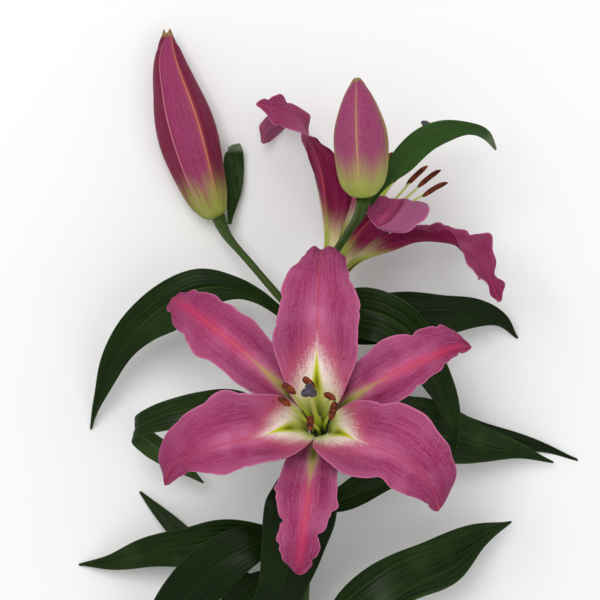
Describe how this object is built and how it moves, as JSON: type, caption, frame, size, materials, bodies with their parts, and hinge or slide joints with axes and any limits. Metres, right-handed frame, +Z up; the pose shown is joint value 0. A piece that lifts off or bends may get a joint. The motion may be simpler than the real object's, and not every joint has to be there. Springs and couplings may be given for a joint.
{
  "type": "cut lily",
  "caption": "Cut oriental lily stem laid on a surface, with open pink blooms, closed buds and long dark green leaves.",
  "frame": {"origin": "centre of the bounding box, on the surface that the cut stem lies on", "axes": "+Y along the stem from its cut end to the flower head, +Z up from the surface, +X to the right seen from above"},
  "size_m": [0.3163, 0.5887, 0.1735],
  "materials": {
    "petal_pink": "satin",
    "bud_skin": "satin",
    "leaf_green": "satin",
    "stem_green": "satin",
    "stamen": "satin",
    "pistil": "satin"
  },
  "bodies": {
    "root": {"stem": "stem_green", "front_tepal_top": "petal_pink", "front_tepal_left": "petal_pink", "front_tepal_right": "petal_pink", "front_tepal_upper_left": "petal_pink", "front_tepal_upper_right": "petal_pink", "front_tepal_lower": "petal_pink", "back_tepal_left": "petal_pink", "back_tepal_left_under": "petal_pink", "back_tepal_near": "petal_pink", "back_tepal_right": "petal_pink", "back_tepal_right_under": "petal_pink", "back_tepal_under": "petal_pink", "leaf_left_upper": "leaf_green", "leaf_left_middle": "leaf_green", "leaf_left_point": "leaf_green", "leaf_left_lower": "leaf_green", "leaf_left_dark": "leaf_green", "leaf_low_pale": "leaf_green", "leaf_hanging": "leaf_green", "leaf_right_arching": "leaf_green", "leaf_right_far": "leaf_green", "leaf_right_front": "leaf_green", "leaf_right_back": "leaf_green", "leaf_right_short": "leaf_green", "leaf_right_lower": "leaf_green", "bract_left": "leaf_green", "bract_right": "leaf_green", "leaf_stem_a": "leaf_green", "leaf_stem_b": "leaf_green", "bud_left": "bud_skin", "bud_right": "bud_skin", "front_stamens": "stamen", "front_pistil": "pistil", "back_stamens": "stamen", "back_pistil": "pistil"}
  },
  "joints": []
}
